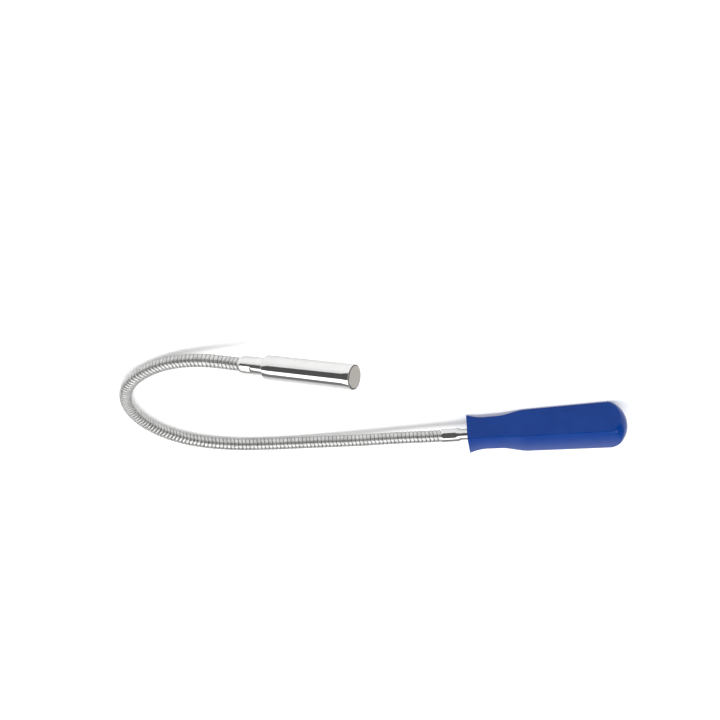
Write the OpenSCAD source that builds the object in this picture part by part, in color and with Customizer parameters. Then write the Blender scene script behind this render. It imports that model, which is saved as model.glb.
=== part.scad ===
// Flexible magnetic pickup tool, lying on a table (z = 0) with its handle along X.
// The handle carries a gooseneck wound from two wires. The gooseneck bends and
// stays bent, and holds a magnet in a bright sleeve at its far end.
// The origin is on the handle's flat underside, halfway along the handle.

/* [Handle] */
// Length from the domed butt to the front rim
handle_length = 100; // [90:1:115]
// Width and height of the square section at the front rim
rim_width = 19.4; // [17:0.1:20]
// Angle by which each side opens towards the butt
side_taper = 1.1; // [0.5:0.1:1.5]
// How deep the waist behind the rim is scooped into each side
waist_depth = 1.9; // [0.5:0.1:2.5]
// Radius of the dome that closes the butt
dome_radius = 16.2; // [15.2:0.1:17]

/* [Handle ferrule] */
// Diameter of the shank in the handle and of the neck in front of it
shank_d = 7.4; // [6:0.1:8]
// Depth of the shank in the handle
shank_depth = 34; // [20:1:45]
// Length of the bare neck between the rim and the socket
neck_length = 5.5; // [4:0.5:10]
// Diameter of the socket that is crimped on the gooseneck
socket_d = 9; // [8.8:0.1:10]
// Length of the socket
socket_length = 11.5; // [11:0.5:16]

/* [Gooseneck] */
// Outer diameter of the wound wires
neck_d = 8; // [7:0.1:8.4]
// Diameter at which the outer wire sits on the inner wire
wire_seat_d = 6.8; // [5.6:0.1:6.9]
// Clear diameter inside the inner wire
neck_bore_d = 4.8; // [3:0.1:5]
// Length of the gooseneck between the two ferrules
neck_run = 339; // [320:1:360]
// Length of gooseneck held inside each ferrule
held_length = 10; // [6:0.5:10]

/* [Magnetic head] */
// Diameter of the ferrule behind the sleeve
head_ferrule_d = 10.4; // [9.6:0.1:11]
// Length of that ferrule in front of the gooseneck's last turn
head_ferrule_length = 18; // [16:0.5:24]
// Outer diameter of the sleeve
sleeve_d = 14; // [13.6:0.1:16]
// Length of the sleeve
sleeve_length = 55.5; // [50:0.5:70]
// Thickness of the sleeve's wall
sleeve_wall = 0.6; // [0.4:0.1:0.7]
// Diameter of the magnet
magnet_d = 12; // [11:0.1:12]
// Length of the magnet
magnet_length = 16; // [8:1:20]
// How far the magnet's face stands out of the sleeve
magnet_proud = 0.5; // [0.2:0.1:1]

/* [Hidden] */
$fn = 96;
// How far each length of the gooseneck turns right and rises along its run, in degrees
turns = [-1.5, -1.5, 1.5, 3.5, 6.5, 15, 27.5, 28.5, 32, 38, 15.5, 12.5, -10.5];
rises = [-2.8, 1.2, -1.0, 2.4, 1.7, -0.2, -0.2, 0.2, 0.8, -3.2, 10.6, 7.4, 4.4];
// Largest swing at the bending place that starts each length, in degrees
swings = [0, 40, 40, 40, 40, 50, 60, 70, 70, 75, 70, 60, 50];
last = len(turns) - 1;
// The first and last lengths are half as long as the rest
bend_pitch = neck_run / last;
rim_x = handle_length / 2;
flare_length = 12;
waist_end = 20;
waist_run = 38;
running_gap = 0.03;
gap = 0.15;
press = 0.1;
socket_mouth = neck_length + socket_length;
crimp_flat = 4.28;
head_crimp_flat = 4.9;
head_neck_d = 7.4;
plug_length = 14;
back_wall = 1.6;
liner_wall = (sleeve_d / 2 - sleeve_wall - magnet_d / 2) - 2 * running_gap;
face_x = head_ferrule_length + sleeve_length;
magnet_back = face_x + magnet_proud - magnet_length;

function two_digits(k) = str(k < 10 ? "0" : "", k);

// ---- Handle ----
// Side of the square section at a distance behind the rim, before the waist is scooped
function full_width(s) = rim_width + 2 * s * tan(side_taper);
// Depth of the waist there: a flared rim, a narrow waist and a soft shoulder
function scoop(s) =
    s < flare_length ? waist_depth * (1 - pow(1 - s / flare_length, 2)) :
    s < waist_end ? waist_depth :
    s < waist_run ? waist_depth * (1 + cos(180 * (s - waist_end) / (waist_run - waist_end))) / 2 :
    0;
profile_s = concat(
    [for (s = [0:2:flare_length]) s],
    [for (s = [waist_end:2:waist_run]) s],
    [handle_length + 1]
);

module side_outline() {
    count = len(profile_s);
    polygon(concat(
        [for (s = profile_s) [rim_x - s, scoop(s)]],
        [for (i = [count - 1:-1:0]) let (s = profile_s[i]) [rim_x - s, full_width(s) - scoop(s)]]
    ));
}

module top_outline() {
    count = len(profile_s);
    polygon(concat(
        [for (s = profile_s) [rim_x - s, scoop(s) - full_width(s) / 2]],
        [for (i = [count - 1:-1:0]) let (s = profile_s[i]) [rim_x - s, full_width(s) / 2 - scoop(s)]]
    ));
}

// The handle's own axis leaves the rim's centre and dips by the taper
module on_handle_axis() {
    translate([rim_x, 0, rim_width / 2]) rotate([0, side_taper, 0]) children();
}

// Turns an outline of radius and distance along X round the X axis
module turned() {
    rotate([0, 90, 0]) rotate_extrude() children();
}

module rod(from, to, d) {
    translate([from, 0, 0]) rotate([0, 90, 0]) cylinder(d = d, h = to - from);
}

module dome_envelope() {
    on_handle_axis() turned() intersection() {
        union() {
            translate([0, dome_radius - handle_length]) circle(r = dome_radius);
            translate([0, dome_radius - handle_length]) square([dome_radius, handle_length]);
        }
        translate([0, -2 * handle_length]) square([2 * dome_radius, 4 * handle_length]);
    }
}

module handle() {
    color("royalblue") difference() {
        intersection() {
            translate([0, rim_width, 0]) rotate([90, 0, 0]) linear_extrude(2 * rim_width) side_outline();
            translate([0, 0, -1]) linear_extrude(2 * rim_width) top_outline();
            dome_envelope();
        }
        on_handle_axis() rod(-shank_depth - 1, 10, shank_d + 2 * running_gap);
    }
}

// Four flats pressed round a ferrule, leaving it distance away from the axis on each side
module crimp_flats(from, to, distance) {
    for (a = [0:90:270]) rotate([a + 45, 0, 0])
        translate([from, distance, -10]) cube([to - from, 10, 20]);
}

module handle_ferrule() {
    nose = 0.8;
    color("silver") on_handle_axis() difference() {
        turned() polygon([
            [0, -shank_depth], [shank_d / 2 - nose, -shank_depth], [shank_d / 2, -shank_depth + nose],
            [shank_d / 2, neck_length - nose], [socket_d / 2, neck_length + nose],
            [socket_d / 2, socket_mouth - nose / 2], [socket_d / 2 - nose / 4, socket_mouth],
            [0, socket_mouth]
        ]);
        rod(socket_mouth - held_length, socket_mouth + 1, neck_d + 2 * running_gap);
        crimp_flats(neck_length + 2 * nose, socket_mouth - nose, crimp_flat);
    }
}

// ---- Gooseneck ----
function bend_of(k) = norm([turns[k], rises[k]]);
function bend_roll(k) = atan2(rises[k], -turns[k]);

function reach_of(k) = k == 0 || k == last ? bend_pitch / 2 : bend_pitch;
function radius_of(k) = reach_of(k) / (bend_of(k) * PI / 180);

// Moves from the start of a length to its end, along the arc that the length follows
module past_length(k) {
    rotate([bend_roll(k), 0, 0]) translate([0, radius_of(k), 0]) rotate([0, 0, bend_of(k)])
        translate([0, -radius_of(k), 0]) rotate([-bend_roll(k), 0, 0]) children();
}

module at_length(k) {
    if (k == 0) on_handle_axis() translate([socket_mouth, 0, 0]) children();
    else at_length(k - 1) past_length(k - 1) children();
}

module at_head() {
    at_length(last + 1) children();
}

// How far the wire stops short of a bending place, so that full swing leaves it clear
function setback(k, d) = k < 1 || k > last ? 0 : d / 2 * tan(swings[k] / 2) + gap;

// A tube that leaves the origin along X and follows the arc of a length
module wire_arc(k, from, to, outer, inner) {
    rotate([bend_roll(k), 0, 0]) translate([0, radius_of(k), 0])
        rotate([0, 0, from / radius_of(k) * 180 / PI - 90])
            rotate_extrude(angle = (to - from) / radius_of(k) * 180 / PI)
                translate([radius_of(k), 0]) difference() {
                    circle(d = outer);
                    circle(d = inner);
                }
}

// The straight end that a crimp holds, pressed a little thinner than the rest
module held_end(outer, inner) {
    root = 0.5;
    difference() {
        rod(gap - held_length, root, outer - press);
        rod(-held_length - 1, root + 1, inner + press);
    }
}

module wire_length(k, outer, inner) {
    if (k == last) at_head() mirror([1, 0, 0]) union() {
        wire_arc(k, 0, reach_of(k) - setback(k, outer), outer, inner);
        held_end(outer, inner);
    }
    else at_length(k) union() {
        wire_arc(k, setback(k, outer), reach_of(k) - setback(k + 1, outer), outer, inner);
        if (k == 0) held_end(outer, inner);
    }
}

module outer_wire(k) {
    color("gainsboro") wire_length(k, neck_d, wire_seat_d);
}

module inner_wire(k) {
    color("darkgray") wire_length(k, wire_seat_d, neck_bore_d);
}

// ---- Magnetic head ----
module head_ferrule() {
    nose = 1;
    color("silver") at_head() difference() {
        turned() polygon([
            [0, 0], [head_ferrule_d / 2 - nose, 0], [head_ferrule_d / 2, 2 * nose],
            [head_ferrule_d / 2, head_ferrule_length],
            [head_neck_d / 2, head_ferrule_length],
            [head_neck_d / 2, head_ferrule_length + back_wall + plug_length - nose],
            [0, head_ferrule_length + back_wall + plug_length - nose]
        ]);
        rod(-1, held_length, neck_d + 2 * running_gap);
        crimp_flats(nose, held_length, head_crimp_flat);
    }
}

module head_sleeve() {
    edge = 0.4;
    outer = sleeve_d / 2;
    inner = outer - sleeve_wall;
    back = head_ferrule_length;
    color("white") at_head() turned() polygon([
        [head_neck_d / 2 + running_gap, back], [outer - edge, back], [outer, back + edge],
        [outer, face_x - 0.3], [outer - 0.2, face_x], [inner, face_x],
        [inner, back + 3.2], [outer - 2, back + back_wall],
        [head_neck_d / 2 + running_gap, back + back_wall]
    ]);
}

module head_plug() {
    edge = 1.8;
    outer = sleeve_d / 2 - sleeve_wall - running_gap;
    from = head_ferrule_length + back_wall + running_gap;
    color("gray") at_head() difference() {
        turned() polygon([
            [0, from], [outer - edge, from], [outer, from + edge],
            [outer, from + plug_length], [0, from + plug_length]
        ]);
        rod(from - 1, from + plug_length - 0.5, head_neck_d + 2 * running_gap);
    }
}

module spacer_tube() {
    outer = sleeve_d - 2 * sleeve_wall - 2 * running_gap;
    from = head_ferrule_length + back_wall + plug_length + 3 * running_gap;
    color("tan") at_head() difference() {
        rod(from, magnet_back - 1 - running_gap, outer);
        rod(from - 1, magnet_back, outer - 3);
    }
}

module magnet_liner() {
    outer = magnet_d / 2 + running_gap + liner_wall;
    color("black") at_head() difference() {
        rod(magnet_back - 1, face_x - 0.2, 2 * outer);
        rod(magnet_back - running_gap, face_x + 1, magnet_d + 2 * running_gap);
    }
}

module magnet() {
    edge = 0.3;
    color("darkkhaki") at_head() turned() polygon([
        [0, magnet_back], [magnet_d / 2, magnet_back],
        [magnet_d / 2, magnet_back + magnet_length - edge],
        [magnet_d / 2 - edge, magnet_back + magnet_length], [0, magnet_back + magnet_length]
    ]);
}

handle();
handle_ferrule();
for (k = [0:last]) {
    outer_wire(k);
    inner_wire(k);
}
head_ferrule();
head_sleeve();
head_plug();
spacer_tube();
magnet_liner();
magnet();
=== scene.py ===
import math

import bmesh
import bpy
from mathutils import Matrix, Vector


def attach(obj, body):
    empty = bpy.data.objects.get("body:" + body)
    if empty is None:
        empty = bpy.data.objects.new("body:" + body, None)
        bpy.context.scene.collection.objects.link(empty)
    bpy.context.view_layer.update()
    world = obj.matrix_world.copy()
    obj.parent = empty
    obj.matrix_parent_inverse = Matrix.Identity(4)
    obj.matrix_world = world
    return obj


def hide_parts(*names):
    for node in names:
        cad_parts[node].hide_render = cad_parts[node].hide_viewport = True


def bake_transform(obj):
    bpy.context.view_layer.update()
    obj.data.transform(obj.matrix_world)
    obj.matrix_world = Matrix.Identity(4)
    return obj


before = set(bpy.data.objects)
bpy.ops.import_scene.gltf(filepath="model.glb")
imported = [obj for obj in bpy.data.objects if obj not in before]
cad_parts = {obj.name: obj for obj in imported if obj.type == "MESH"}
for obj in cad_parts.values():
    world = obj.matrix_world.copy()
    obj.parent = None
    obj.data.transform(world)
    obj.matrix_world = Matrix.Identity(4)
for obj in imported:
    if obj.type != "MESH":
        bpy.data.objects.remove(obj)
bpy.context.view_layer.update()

# ---- Handle ----------------------------------------------------------------------------
# One solid grip moulded in glossy blue plastic: a square bar with slightly crowned sides and
# soft long edges, scooped to a waist behind a flared rim and turned to a dome at the butt.
# A blind hole in its front takes the ferrule's shank.
MM = 0.001
rim_x, rim_width, handle_length = 50 * MM, 19.4 * MM, 100 * MM
side_taper = math.radians(1.1)
flare_length, waist_end, waist_run, waist_depth = 12 * MM, 20 * MM, 38 * MM, 1.9 * MM
dome_radius, side_crown_radius, long_edge_blend, dome_edge_blend = 16.2 * MM, 110 * MM, 1.3 * MM, 0.5 * MM
pole_cap, rim_edge, hole_edge, hole_radius, hole_depth = 0.2 * MM, 0.7 * MM, 0.3 * MM, 3.73 * MM, 34.5 * MM
handle_axis = Matrix.Translation((rim_x, 0, rim_width / 2)) @ Matrix.Rotation(side_taper, 4, "Y")


def waist(s):
    """Depth of the scoop in each side at a distance behind the rim."""
    if s < flare_length:
        return waist_depth * (1 - (1 - s / flare_length) ** 2)
    if s < waist_end:
        return waist_depth
    if s < waist_run:
        return waist_depth * (1 + math.cos(math.pi * (s - waist_end) / (waist_run - waist_end))) / 2
    return 0


def blended(a, b, soft):
    """The smaller of two reaches, with their meeting line rounded."""
    near = max(soft - abs(a - b), 0) / soft
    return min(a, b) - near * near * soft / 4


def side_reach(angle, half):
    """How far one crowned side lies from the bar's middle, at an angle from that side's normal."""
    back = half - side_crown_radius
    c = back * math.cos(angle)
    return c + math.sqrt(c * c + side_crown_radius ** 2 - back * back)


def grip_reach(s, angle):
    half = rim_width / 2 + s * math.tan(side_taper) - waist(s)
    from_side = abs(math.remainder(angle, math.pi / 2))
    from_next_side = math.pi / 2 - from_side
    square = blended(side_reach(from_side, half), side_reach(from_next_side, half), long_edge_blend)
    past = min(max(handle_length - s, 0), dome_radius)
    dome = math.sqrt(max(dome_radius ** 2 - (dome_radius - past) ** 2, 0))
    return blended(square, dome, dome_edge_blend) if past > pole_cap else dome


def turned(profile, steps):
    """Spins a profile of distance along X and radius round the X axis."""
    bm = bmesh.new()
    line = [bm.verts.new((x, r, 0)) for x, r in profile]
    edges = [bm.edges.new(pair) for pair in zip(line, line[1:])]
    bmesh.ops.spin(bm, geom=line + edges, cent=(0, 0, 0), axis=(1, 0, 0), angle=math.tau,
                   steps=steps, use_merge=True)
    bmesh.ops.remove_doubles(bm, verts=bm.verts, dist=0.002 * MM)
    bmesh.ops.recalc_face_normals(bm, faces=bm.faces)
    return bm


class Link:
    """A shader socket's output that Python's operators work on."""

    def __init__(self, finish, socket):
        self.finish, self.socket = finish, socket

    def maths(self, operation, *values):
        return self.finish.node("ShaderNodeMath", {"operation": operation}, dict(enumerate(values)))

    def __add__(self, other):
        return self.maths("ADD", self, other)

    def __sub__(self, other):
        return self.maths("SUBTRACT", self, other)

    def __rsub__(self, other):
        return self.maths("SUBTRACT", other, self)

    def __mul__(self, other):
        return self.maths("MULTIPLY", self, other)

    __radd__, __rmul__ = __add__, __mul__

    def between(self, low, high, start=0.0, end=1.0):
        """Eases from start to end as the value goes from low to high."""
        ends = {"From Min": low, "From Max": high, "To Min": start, "To Max": end}
        return self.finish.node("ShaderNodeMapRange", {"interpolation_type": "SMOOTHSTEP"},
                                {"Value": self, **ends})


class Finish:
    """A material, or the world's light, built node by node."""

    def __init__(self, owner, output="ShaderNodeOutputMaterial", shader="ShaderNodeBsdfPrincipled"):
        owner.use_nodes = True
        self.owner, self.tree = owner, owner.node_tree
        self.tree.nodes.clear()
        out, self.shader = self.tree.nodes.new(output), self.tree.nodes.new(shader)
        self.tree.links.new(self.shader.outputs[0], out.inputs["Surface"])

    def feed(self, socket, value):
        if isinstance(value, Link):
            self.tree.links.new(value.socket, socket)
        else:
            socket.default_value = value

    def node(self, kind, settings, values, output=0):
        made = self.tree.nodes.new(kind)
        for name, setting in settings.items():
            setattr(made, name, setting)
        for name, value in values.items():
            self.feed(made.inputs[name], value)
        return Link(self, made.outputs[output])

    def place(self):
        """The point on the piece, in metres."""
        return self.node("ShaderNodeTexCoord", {}, {}, "Object")

    def grain(self, scale, detail, stretch=None):
        """Noise from 0 to 1, with scale cells per metre, stretched by a vector if one is given."""
        where = self.place()
        if stretch:
            where = self.node("ShaderNodeVectorMath", {"operation": "MULTIPLY"}, {0: where, 1: stretch})
        return self.node("ShaderNodeTexNoise", {}, {"Vector": where, "Scale": scale, "Detail": detail}, "Fac")

    def mixed(self, share, a, b):
        """A colour between a and b."""
        ends = [colour if isinstance(colour, Link) else (*colour, 1) for colour in (a, b)]
        return self.node("ShaderNodeMix", {"data_type": "RGBA"}, {0: share, 6: ends[0], 7: ends[1]}, 2)

    def bumped(self, height, depth, strength):
        """A normal from a height of 0 to 1 that stands for a depth in metres."""
        return self.node("ShaderNodeBump", {}, {"Strength": strength, "Distance": depth, "Height": height})

    def surface(self, **values):
        for name, value in values.items():
            self.feed(self.shader.inputs[name.replace("_", " ")], value)
        return self.owner


def new_finish(name):
    return Finish(bpy.data.materials.new(name))


def as_piece(name, bm, material, nodes, crease):
    """Turns a bmesh into an object with outward faces and smooth shading broken at creases."""
    mesh = bpy.data.meshes.new(name)
    bm.to_mesh(mesh)
    bm.free()
    mesh.materials.append(material)
    mesh.polygons.foreach_set("use_smooth", [True] * len(mesh.polygons))
    mesh.set_sharp_from_angle(angle=math.radians(crease))
    piece = bpy.data.objects.new(name, mesh)
    bpy.context.scene.collection.objects.link(piece)
    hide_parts(*nodes)
    return piece


# The outline runs from the butt's pole to the rim, over the rim's edge and down the hole.
# A radius near the skin only says how far a point is inside the grip's own surface. The rows
# lie 2 mm apart on the plain stretch and 0.5 mm apart along the waist, and closest at the dome's rim.
skin = 20 * MM
dome_steps = [1.5 * k for k in range(1, 26)] + [37.5 + 0.75 * k for k in range(1, 51)]
outline = [(-handle_length, 0)]
outline += [(-handle_length + dome_radius * (1 - math.cos(math.radians(a))), skin) for a in dome_steps]
outline += [(-s * MM, skin) for s in range(86, 42, -2)]
outline += [(-0.5 * s * MM, skin) for s in range(84, 2, -1)]
outline += [(-rim_edge * (1 - math.sin(math.radians(a))), skin - rim_edge * (1 - math.cos(math.radians(a))))
            for a in range(0, 91, 15)]
outline += [(0, 6 * MM), (0, hole_radius + hole_edge), (-hole_edge, hole_radius), (-hole_depth, hole_radius),
            (-hole_depth, 0)]
grip_faces, gathering = 216, 0.19  # faces round the grip, gathered towards its long edges
grip = turned(outline, grip_faces)
for v in grip.verts:
    x, y, z = v.co
    depth, radius, angle = -x, math.hypot(y, z), math.atan2(z, y)
    angle += gathering * math.sin(4 * angle)
    if radius > skin / 2:
        radius = grip_reach(depth, angle) - (skin - radius)
    v.co = (rim_x - depth, radius * math.cos(angle),
            rim_width / 2 + depth * math.tan(side_taper) + radius * math.sin(angle))

blue = new_finish("blue_gloss_plastic")
cloud, haze = blue.grain(90, 4), blue.grain(900, 2)
scuffs = blue.grain(1500, 3, (1, 9, 9)).between(0.56, 0.72)
blue_plastic = blue.surface(
    Base_Color=blue.mixed(cloud.between(0.35, 0.65), (0.0003, 0.041, 0.262), (0.0010, 0.047, 0.285)),
    Roughness=0.09 + 0.04 * haze + 0.10 * scuffs,
    Normal=blue.bumped(blue.grain(260, 3), 0.05 * MM, 0.35),
    IOR=1.46, Specular_IOR_Level=0.2)
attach(as_piece("handle_grip", grip, blue_plastic, ["handle"], crease=60), "handle")

# ---- Handle ferrule ----------------------------------------------------------------------
# A turned and nickel-plated steel ferrule. Its shank is pressed into the handle, and its
# socket is crimped on the gooseneck by four flats, which leave rounded lobes between them.
shank_radius, shank_depth, neck_length = 3.7 * MM, 34 * MM, 5.5 * MM
socket_radius, socket_length, held_length = 4.5 * MM, 11.5 * MM, 10 * MM
mouth_x = neck_length + socket_length
coil_bore = 4.03 * MM
crimp_edge, crimp_step, ferrule_faces, ferrule_crease = 0.10 * MM, 0.25 * MM, 96, 28


def crimped(bm, start, end, flat, run_out, roll):
    """Presses four flats into a turned piece, easing out over a short run at each end."""
    for v in bm.verts:
        x, y, z = v.co
        radius, angle = math.hypot(y, z), math.atan2(z, y)
        if radius < flat or not start < x < end:
            continue
        ease = min((x - start) / run_out, (end - x) / run_out, 1)
        here = flat + (radius - flat) * (1 - ease * ease * (3 - 2 * ease))
        reach = here / math.cos(math.remainder(angle - math.radians(roll), math.pi / 2))
        pressed = blended(radius, reach, crimp_edge)
        v.co = (x, pressed * math.cos(angle), pressed * math.sin(angle))


def fine_steps(start, end, radius, step):
    """Profile points along a straight stretch, about a step apart, without its two ends."""
    count = max(1, round(abs(end - start) / step))
    return [(start + (end - start) * k / count, radius) for k in range(1, count)]


ferrule = turned([
    (-shank_depth, 0), (-shank_depth, shank_radius - 0.8 * MM), (-shank_depth + 0.8 * MM, shank_radius),
    (neck_length - 1.4 * MM, shank_radius), (neck_length - 0.9 * MM, shank_radius + 0.08 * MM),
    (neck_length + 0.3 * MM, socket_radius - 0.14 * MM), (neck_length + 0.9 * MM, socket_radius),
    *fine_steps(neck_length + 0.9 * MM, mouth_x - 0.35 * MM, socket_radius, crimp_step),
    (mouth_x - 0.35 * MM, socket_radius), (mouth_x - 0.1 * MM, socket_radius - 0.1 * MM),
    (mouth_x, socket_radius - 0.3 * MM), (mouth_x, coil_bore + 0.06 * MM), (mouth_x - 0.1 * MM, coil_bore),
    (mouth_x - held_length, coil_bore), (mouth_x - held_length, 0)], ferrule_faces)
crimped(ferrule, neck_length + 1.4 * MM, mouth_x - 0.6 * MM, flat=4.2 * MM, run_out=0.9 * MM, roll=59)
ferrule.transform(handle_axis)

nickel = new_finish("nickel_plated_steel")
tool_marks = nickel.grain(5200, 2, (1, 0.06, 0.06))
nickel_plate = nickel.surface(
    Base_Color=nickel.mixed(nickel.grain(420, 3), (0.57, 0.57, 0.56), (0.67, 0.67, 0.66)),
    Metallic=1.0,
    Roughness=0.10 + 0.07 * nickel.grain(700, 3) + 0.05 * tool_marks,
    Normal=nickel.bumped(tool_marks, 0.01 * MM, 0.25))
socket_piece = as_piece("handle_ferrule_turned", ferrule, nickel_plate, ["handle_ferrule"],
                        ferrule_crease)
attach(socket_piece, "handle")

# ---- Gooseneck ---------------------------------------------------------------------------
# Two wires wound as one: a round spring wire inside, and a wedge wire pressed into the groove
# between its turns. Their friction lets the neck bend anywhere and stay bent. It is made in
# twelve stretches, each laid along the neck's curved line, and a few turns at each end are held
# in the ferrules.
turns = [-1.5, -1.5, 1.5, 3.5, 6.5, 15, 27.5, 28.5, 32, 38, 15.5, 12.5, -10.5]  # degrees right, per length
rises = [-2.8, 1.2, -1.0, 2.4, 1.7, -0.2, -0.2, 0.2, 0.8, -3.2, 10.6, 7.4, 4.4]  # degrees up
neck_run = 339 * MM
stretch = neck_run / 12
turns_of_wire, turns_held = 11, 3.5
lead = stretch / turns_of_wire
socket_mouth = handle_axis @ Matrix.Translation((mouth_x, 0, 0))


def length_of(k):
    return stretch / 2 if k in (0, 12) else stretch


def along_arc(k, s):
    """The step from the start of a length to a point at a distance along its arc."""
    bend = math.radians(math.hypot(turns[k], rises[k]))
    roll = Matrix.Rotation(math.atan2(rises[k], -turns[k]), 4, "X")
    to_middle = Matrix.Translation((0, length_of(k) / bend, 0))
    turned_by = Matrix.Rotation(bend * s / length_of(k), 4, "Z")
    return roll @ to_middle @ turned_by @ to_middle.inverted() @ roll.inverted()


length_starts = [socket_mouth]
for k in range(13):
    length_starts.append(length_starts[-1] @ along_arc(k, length_of(k)))


def neck_place(s):
    """Where the gooseneck's middle is, and how it points, at a distance from the socket's mouth."""
    if s <= 0:
        return socket_mouth @ Matrix.Translation((s, 0, 0))
    if s >= neck_run:
        return length_starts[13] @ Matrix.Translation((s - neck_run, 0, 0))
    k = math.floor(s / stretch + 0.5)
    return length_starts[k] @ along_arc(k, s - max(k - 0.5, 0) * stretch)


def along_neck(bm):
    """Bends a straight piece, made along X from the socket's mouth, onto the gooseneck's line."""
    places = {}
    for v in bm.verts:
        x = round(v.co.x, 7)
        if x not in places:
            places[x] = neck_place(x)
        v.co = places[x] @ Vector((0, v.co.y, v.co.z))


def wound(section, start, coils, steps):
    """Winds a wire of the given section along X, with its ends closed."""
    bm = bmesh.new()
    ring = [bm.verts.new((start + x * MM, r * MM, 0)) for x, r in section]
    edges = [bm.edges.new(pair) for pair in zip(ring, ring[1:] + ring[:1])]
    total = round(coils * steps)
    bmesh.ops.spin(bm, geom=ring + edges, cent=(0, 0, 0), axis=(1, 0, 0), dvec=(lead / steps, 0, 0),
                   angle=math.tau * coils, steps=total)
    bmesh.ops.holes_fill(bm, edges=[e for e in bm.edges if e.is_boundary], sides=0)
    bmesh.ops.recalc_face_normals(bm, faces=bm.faces)
    along_neck(bm)
    return bm


# Both sections are in millimetres along the neck and out from its middle.
wedge = [(-1.19, 3.36), (-1.10, 3.62), (-0.88, 3.81), (-0.48, 3.95), (0, 4.0), (0.48, 3.95), (0.88, 3.81),
         (1.10, 3.62), (1.19, 3.36), (0.42, 2.86), (-0.42, 2.86)]
wire_radius, wire_middle, wire_sides = 0.64, 3.05, 10
round_wire = [(lead / MM / 2 + wire_radius * math.cos(math.tau * k / wire_sides),
               wire_middle + wire_radius * math.sin(math.tau * k / wire_sides)) for k in range(wire_sides)]

wire = new_finish("plated_wedge_wire")
drawn = wire.grain(3000, 2)
wedge_plate = wire.surface(
    Base_Color=wire.mixed(wire.grain(240, 3).between(0.3, 0.7), (0.47, 0.47, 0.465), (0.59, 0.59, 0.585)),
    Metallic=1.0,
    Roughness=0.36 + 0.10 * drawn,
    Normal=wire.bumped(drawn, 0.01 * MM, 0.3))
steel = new_finish("drawn_round_wire")
steel_wire = steel.surface(
    Base_Color=steel.mixed(steel.grain(900, 2), (0.16, 0.16, 0.155), (0.26, 0.26, 0.25)),
    Metallic=1.0,
    Roughness=0.34 + 0.12 * steel.grain(2500, 2))

wires = (("wedge_coil", wedge, 32, wedge_plate, "outer_wire"),
         ("round_coil", round_wire, 20, steel_wire, "inner_wire"))
wire_crease = 35
for label, section, steps, material, slot in wires:
    for body, start, node in (("handle", -turns_held * lead, "00"), ("head", neck_run, "12")):
        held = wound(section, start, turns_held, steps)
        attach(as_piece(f"{label}_in_{body}", held, material, [f"{slot}_{node}"], wire_crease), body)
    for k in range(1, 13):
        start = (k - 1) * stretch
        piece = as_piece(f"{label}_{k:02d}", wound(section, start, turns_of_wire, steps), material,
                         [f"{slot}_{k - 1:02d}", f"{slot}_{k:02d}"], wire_crease)
        neck_place(start).translation
        neck_place(start + stretch).translation
        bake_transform(piece)

# ---- Head ferrule --------------------------------------------------------------------------
# A turned steel ferrule at the gooseneck's far end, crimped on it by four long flats behind a
# rounded nose. A smooth collar butts on the sleeve, and a stud goes through the sleeve's end.
head_ferrule_radius, head_ferrule_length, stud_radius, stud_end = 5.2 * MM, 18 * MM, 3.7 * MM, 32.6 * MM
nose_end, collar_start, collar_edge, bore_edge = 2.6 * MM, 10.3 * MM, 0.15 * MM, 0.08 * MM


def onto_head(bm):
    """Moves a piece made along X from the gooseneck's end onto the head's axis."""
    bm.transform(neck_place(neck_run))


tip = turned([
    (0, coil_bore + bore_edge), (0, 4.3 * MM), (0.12 * MM, 4.42 * MM), (0.9 * MM, 4.85 * MM),
    (1.8 * MM, 5.12 * MM), (nose_end, head_ferrule_radius),
    *fine_steps(nose_end, collar_start, head_ferrule_radius, crimp_step), (collar_start, head_ferrule_radius),
    (head_ferrule_length - collar_edge, head_ferrule_radius),
    (head_ferrule_length, head_ferrule_radius - collar_edge), (head_ferrule_length, stud_radius),
    (stud_end, stud_radius), (stud_end, 0)], ferrule_faces)
lining = turned([
    (0, coil_bore + bore_edge), (0.1 * MM, coil_bore), (held_length, coil_bore), (held_length, 0)],
    ferrule_faces)
lining_mesh = bpy.data.meshes.new("lining")
lining.to_mesh(lining_mesh)
lining.free()
tip.from_mesh(lining_mesh)
bpy.data.meshes.remove(lining_mesh)
bmesh.ops.remove_doubles(tip, verts=tip.verts, dist=0.002 * MM)
bmesh.ops.recalc_face_normals(tip, faces=tip.faces)
crimped(tip, 0.5 * MM, collar_start, flat=4.86 * MM, run_out=1.3 * MM, roll=57)
onto_head(tip)
tip_piece = as_piece("head_ferrule_turned", tip, nickel_plate, ["head_ferrule"], ferrule_crease)
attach(tip_piece, "head")

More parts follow.
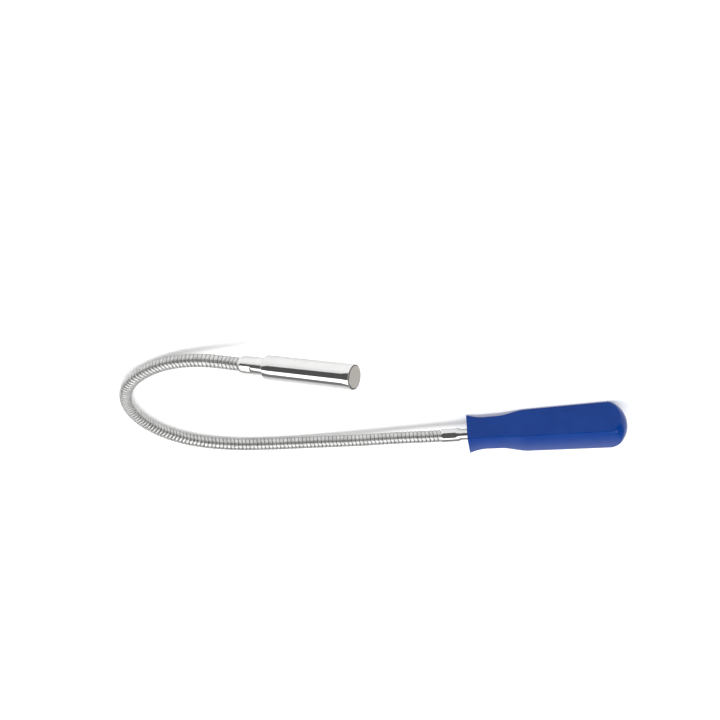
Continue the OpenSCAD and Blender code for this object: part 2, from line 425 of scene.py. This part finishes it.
# ---- Sleeve --------------------------------------------------------------------------------
# A thin drawn tube, mirror chromed, that carries the magnet. Its back end is closed flat round
# the stud, with a crisp edge, and its front edge is faced to a narrow flat lip.
sleeve_radius, sleeve_wall, sleeve_back, face_x = 7 * MM, 0.6 * MM, 18 * MM, 73.5 * MM
sleeve_faces, head_crease = 160, 30
back_wall, back_edge, stud_gap, ring_step = 1.6 * MM, 0.42 * MM, 0.03 * MM, 4 * MM
tube = turned([
    (sleeve_back, stud_radius + stud_gap), (sleeve_back, 6.62 * MM), (sleeve_back + 0.08 * MM, 6.82 * MM),
    (sleeve_back + 0.22 * MM, 6.95 * MM), (sleeve_back + back_edge, sleeve_radius),
    *fine_steps(sleeve_back + back_edge, face_x - 0.45 * MM, sleeve_radius, ring_step),
    (face_x - 0.16 * MM, sleeve_radius), (face_x - 0.05 * MM, sleeve_radius - 0.04 * MM),
    (face_x, sleeve_radius - 0.13 * MM), (face_x, sleeve_radius - 0.52 * MM),
    (face_x - 0.08 * MM, sleeve_radius - sleeve_wall),
    (sleeve_back + 3.2 * MM, sleeve_radius - sleeve_wall),
    (sleeve_back + back_wall, sleeve_radius - 2 * MM), (sleeve_back + back_wall, stud_radius + stud_gap),
    (sleeve_back, stud_radius + stud_gap)], sleeve_faces)
onto_head(tube)

chrome = new_finish("mirror_chrome")
hairlines = chrome.grain(2600, 2)
mirror_chrome = chrome.surface(
    Base_Color=chrome.mixed(chrome.grain(120, 3), (0.56, 0.56, 0.555), (0.63, 0.63, 0.625)),
    Metallic=1.0,
    Roughness=0.045 + 0.03 * chrome.grain(500, 4) + 0.03 * hairlines.between(0.6, 0.75),
    Normal=chrome.bumped(chrome.grain(160, 2), 0.02 * MM, 0.25))
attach(as_piece("head_sleeve_tube", tube, mirror_chrome, ["head_sleeve"], head_crease), "head")

# ---- Inside of the head ----------------------------------------------------------------------
# A turned steel plug holds the stud in the sleeve's back end, a plain tube fills the length
# behind the magnet, and a thin black cup keeps the magnet clear of the sleeve.
plug = new_finish("turned_steel")
rings = plug.grain(4000, 2, (1, 0.05, 0.05))
turned_steel = plug.surface(
    Base_Color=plug.mixed(plug.grain(300, 3), (0.36, 0.36, 0.37), (0.46, 0.46, 0.47)),
    Metallic=1.0, Roughness=0.30 + 0.15 * rings, Normal=plug.bumped(rings, 0.02 * MM, 0.4))
natural = new_finish("natural_plastic")
natural_plastic = natural.surface(
    Base_Color=natural.mixed(natural.grain(200, 4), (0.44, 0.39, 0.31), (0.55, 0.50, 0.41)),
    Roughness=0.50 + 0.12 * natural.grain(800, 3),
    Normal=natural.bumped(natural.grain(1200, 3), 0.03 * MM, 0.4))
black = new_finish("black_plastic")
black_plastic = black.surface(
    Base_Color=black.mixed(black.grain(700, 3), (0.035, 0.033, 0.030), (0.060, 0.057, 0.052)),
    Roughness=0.42 + 0.12 * black.grain(1500, 3),
    Normal=black.bumped(black.grain(2500, 2), 0.01 * MM, 0.4))
inner_finishes = {"head_plug": turned_steel, "spacer_tube": natural_plastic, "magnet_liner": black_plastic}
for node, material in inner_finishes.items():
    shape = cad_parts[node]
    shape.data.materials.clear()
    shape.data.materials.append(material)

# ---- Magnet ----------------------------------------------------------------------------------
# A short rod of cast magnet alloy. Its face is ground flat and left bare, warm grey, and
# stands a little proud of the sleeve. Its sides and its rounded edge keep the darker cast skin.
magnet_radius, magnet_length, magnet_proud, face_edge = 6 * MM, 16 * MM, 0.5 * MM, 0.25 * MM
magnet_front = face_x + magnet_proud
rod = turned([
    (magnet_front - magnet_length, 0), (magnet_front - magnet_length, magnet_radius),
    (magnet_front - face_edge, magnet_radius), (magnet_front - 0.07 * MM, magnet_radius - 0.14 * MM),
    (magnet_front, magnet_radius - face_edge), *[(magnet_front, r * MM) for r in (5, 4, 3, 2, 1)],
    (magnet_front, 0)], steps=128)
onto_head(rod)

alloy = new_finish("ground_magnet_alloy")
pores = alloy.grain(2600, 4).between(0.60, 0.78)
ground = alloy.grain(1500, 3, (0.15, 0.15, 3))
head_place = neck_place(neck_run)
pointing, face_middle = head_place.to_3x3().col[0], head_place @ Vector((magnet_front, 0, 0))
along = alloy.node("ShaderNodeVectorMath", {"operation": "DOT_PRODUCT"}, {0: alloy.place(), 1: pointing},
                   "Value")
cast_skin = (along - face_middle.dot(pointing)).between(-0.06 * MM, -0.22 * MM)
face_grey = alloy.mixed(alloy.grain(260, 4), (0.43, 0.405, 0.37), (0.52, 0.49, 0.45))
bare = alloy.mixed(pores, face_grey, (0.30, 0.27, 0.24))
magnet_alloy = alloy.surface(
    Base_Color=alloy.mixed(cast_skin, bare, (0.24, 0.23, 0.215)),
    Metallic=0.55,
    Roughness=0.42 + 0.18 * ground,
    Normal=alloy.bumped(ground - 0.5 * pores, 0.03 * MM, 0.5))
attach(as_piece("magnet_rod", rod, magnet_alloy, ["magnet"], head_crease), "head")

# ---- Table, light and camera -------------------------------------------------------------------
# A plain white table, one broad soft light overhead, a light backdrop behind and a dark room in
# front. The table glows a little, which lightens its far part and the raised head's shadow. The
# camera is rolled over, because the tool was seen from the table's far side.
table = bmesh.new()
bmesh.ops.create_grid(table, x_segments=1, y_segments=1, size=1)
table.transform(Matrix.Translation((0.1, 1.6, 0)) @ Matrix.Diagonal((4, 2.9, 1, 1)))
table_mesh = bpy.data.meshes.new("table")
table.to_mesh(table_mesh)
table.free()
white = new_finish("white_table")
toward_far = white.node("ShaderNodeSeparateXYZ", {}, {"Vector": white.place()}, "Y")
toward_loop = white.node("ShaderNodeSeparateXYZ", {}, {"Vector": white.place()}, "X")
glow = (toward_far.between(-0.95, -0.35, 0, 0.32) + toward_far.between(0.02, 0.7, 0, 0.65)
        + toward_far.between(-0.06, -0.10, 0, 0.16) * toward_loop.between(0.22, 0.16))
table_mesh.materials.append(white.surface(
    Base_Color=white.mixed(white.grain(6, 2), (0.86, 0.86, 0.86), (0.875, 0.875, 0.875)), Roughness=0.6,
    Specular_IOR_Level=0.2, Emission_Color=white.mixed(glow, (0, 0, 0), (1, 1, 1)), Emission_Strength=1.0))
table_top = bpy.data.objects.new("table_top", table_mesh)
bpy.context.scene.collection.objects.link(table_top)

overhead = bpy.data.lights.new("overhead_softbox", "AREA")
overhead.shape, overhead.size, overhead.size_y, overhead.energy = "RECTANGLE", 5.6, 0.88, 40
overhead_light = bpy.data.objects.new("overhead_softbox", overhead)
overhead_light.location = (0.7, -0.24, 1.1)
bpy.context.scene.collection.objects.link(overhead_light)

room = bpy.data.worlds.new("studio")
bpy.context.scene.world = room
air = Finish(room, "ShaderNodeOutputWorld", "ShaderNodeBackground")
direction = air.node("ShaderNodeTexCoord", {}, {}, "Generated")
east = air.node("ShaderNodeSeparateXYZ", {}, {"Vector": direction}, "X")
north = air.node("ShaderNodeSeparateXYZ", {}, {"Vector": direction}, "Y")
backdrop = east.between(0.05, 0.40, 0.32, 0.80)
level = (0.10 + north.between(0.08, 0.25, 0, 0.13) + north.between(0.52, 0.74) * (backdrop - 0.23)
         + north.between(0.80, 0.96) * (0.95 - backdrop))
air.surface(Color=air.mixed(level, (0, 0, 0), (1, 1, 1)), Strength=1.3)

camera = bpy.data.cameras.new("camera")
camera.lens, camera.sensor_width = 50, 36
camera.clip_start, camera.clip_end = 0.01, 20
viewer = bpy.data.objects.new("camera", camera)
eye, target = Vector((18.57, -572.04, 315.59)) * MM, Vector((105.51, -84.65, 0)) * MM
aim = (target - eye).to_track_quat("-Z", "Y").to_matrix().to_4x4()
viewer.matrix_world = Matrix.Translation(eye) @ aim @ Matrix.Rotation(math.pi, 4, "Z")
bpy.context.scene.collection.objects.link(viewer)
bpy.context.scene.camera = viewer
bpy.context.scene.view_settings.view_transform = "Standard"
